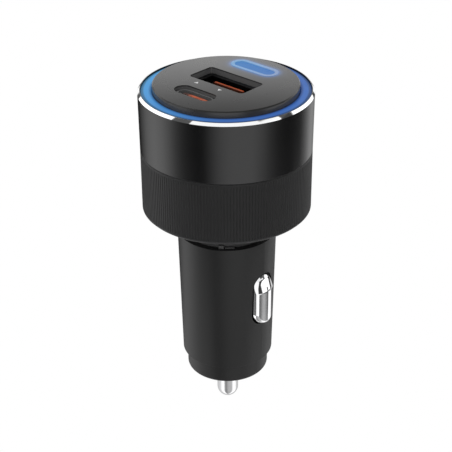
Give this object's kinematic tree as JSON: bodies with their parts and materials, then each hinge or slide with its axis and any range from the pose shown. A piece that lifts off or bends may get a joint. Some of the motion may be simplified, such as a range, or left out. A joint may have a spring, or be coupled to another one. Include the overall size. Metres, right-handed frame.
{
  "type": "car usb charger plug",
  "caption": "Round car charger plug: ribbed head with a wide and a small USB port, a power button and a lit ring, on a tapered barrel with sprung side contacts and a sprung centre pin.",
  "frame": {"origin": "on the plug's axis, in the plane of the head's underside, where the head seats on the vehicle's socket", "axes": "+Z along the axis towards the ports, +X along the long side of the ports, +Y from the small port towards the power button"},
  "size_m": [0.036, 0.036, 0.0779],
  "materials": {
    "satin_black_metal": "satin black sleeve with a polished bevel",
    "black_plastic": "matte black",
    "dark_grey_plastic": "fine matte",
    "blue_diffuser": "milky blue, lit from below",
    "pale_blue_diffuser": "milky pale blue, lit from below",
    "blue_cap": "blue, lit from below",
    "bright_steel": "nickel plated sheet",
    "nickel_plate": "bright nickel plate",
    "spring_steel": "drawn wire and strip",
    "brass": "turned",
    "gold_contact": "gold flash",
    "orange_plastic": "orange",
    "green_board": "solder mask",
    "white_board": "white solder mask",
    "lamp_package": "small lamp packages",
    "chip_plastic": "moulded package",
    "ferrite": "pressed core",
    "can_aluminium": "sleeveless can"
  },
  "bodies": {
    "casing": {"upper_shell": "satin_black_metal", "lower_shell": "black_plastic", "neck": "black_plastic", "light_ring": "blue_diffuser", "front_panel": "dark_grey_plastic", "button_light_guide": "pale_blue_diffuser", "button_switch": "black_plastic", "usb_a_shell": "bright_steel", "usb_a_insulator": "orange_plastic", "usb_a_contacts": "gold_contact", "usb_c_shell": "bright_steel", "usb_c_insulator": "orange_plastic", "usb_c_contacts": "gold_contact", "port_board": "green_board", "panel_screws": "bright_steel", "led_board": "white_board", "ring_leds": "lamp_package", "led_pins": "gold_contact", "controller_chip": "chip_plastic", "inductor": "ferrite", "input_capacitor": "can_aluminium", "output_capacitor": "can_aluminium", "main_board": "green_board", "main_chip": "chip_plastic", "main_inductor": "ferrite", "main_capacitor": "can_aluminium", "barrel": "dark_grey_plastic", "nose_cap": "dark_grey_plastic", "pin_spring": "spring_steel", "ground_spring_right": "spring_steel", "ground_spring_left": "spring_steel", "inner_carrier": "black_plastic", "positive_terminal": "brass"},
    "pin": {"centre_pin": "nickel_plate"},
    "right_contact": {"ground_contact_right": "nickel_plate"},
    "left_contact": {"ground_contact_left": "nickel_plate"},
    "button": {"power_button": "blue_cap", "switch_plunger": "black_plastic"}
  },
  "joints": [
    {"name": "pin_press", "type": "slide", "parent": "casing", "child": "pin", "axis": [0, 0, 1], "range_m": [0, 0.0025], "stiffness_N_per_m": 800, "springref_m": -0.002, "deforming": ["pin_spring"]},
    {"name": "right_contact_press", "type": "slide", "parent": "casing", "child": "right_contact", "axis": [-0.9996, -0.0279, 0], "range_m": [0, 0.0007], "stiffness_N_per_m": 1500, "springref_m": -0.001, "deforming": ["ground_spring_right"]},
    {"name": "left_contact_press", "type": "slide", "parent": "casing", "child": "left_contact", "axis": [0.9996, 0.0279, 0], "range_m": [0, 0.0007], "stiffness_N_per_m": 1500, "springref_m": -0.001, "deforming": ["ground_spring_left"]},
    {"name": "button_press", "type": "slide", "parent": "casing", "child": "button", "axis": [0, 0, -1], "range_m": [0, 0.0004], "stiffness_N_per_m": 1500, "springref_m": -0.0005}
  ]
}
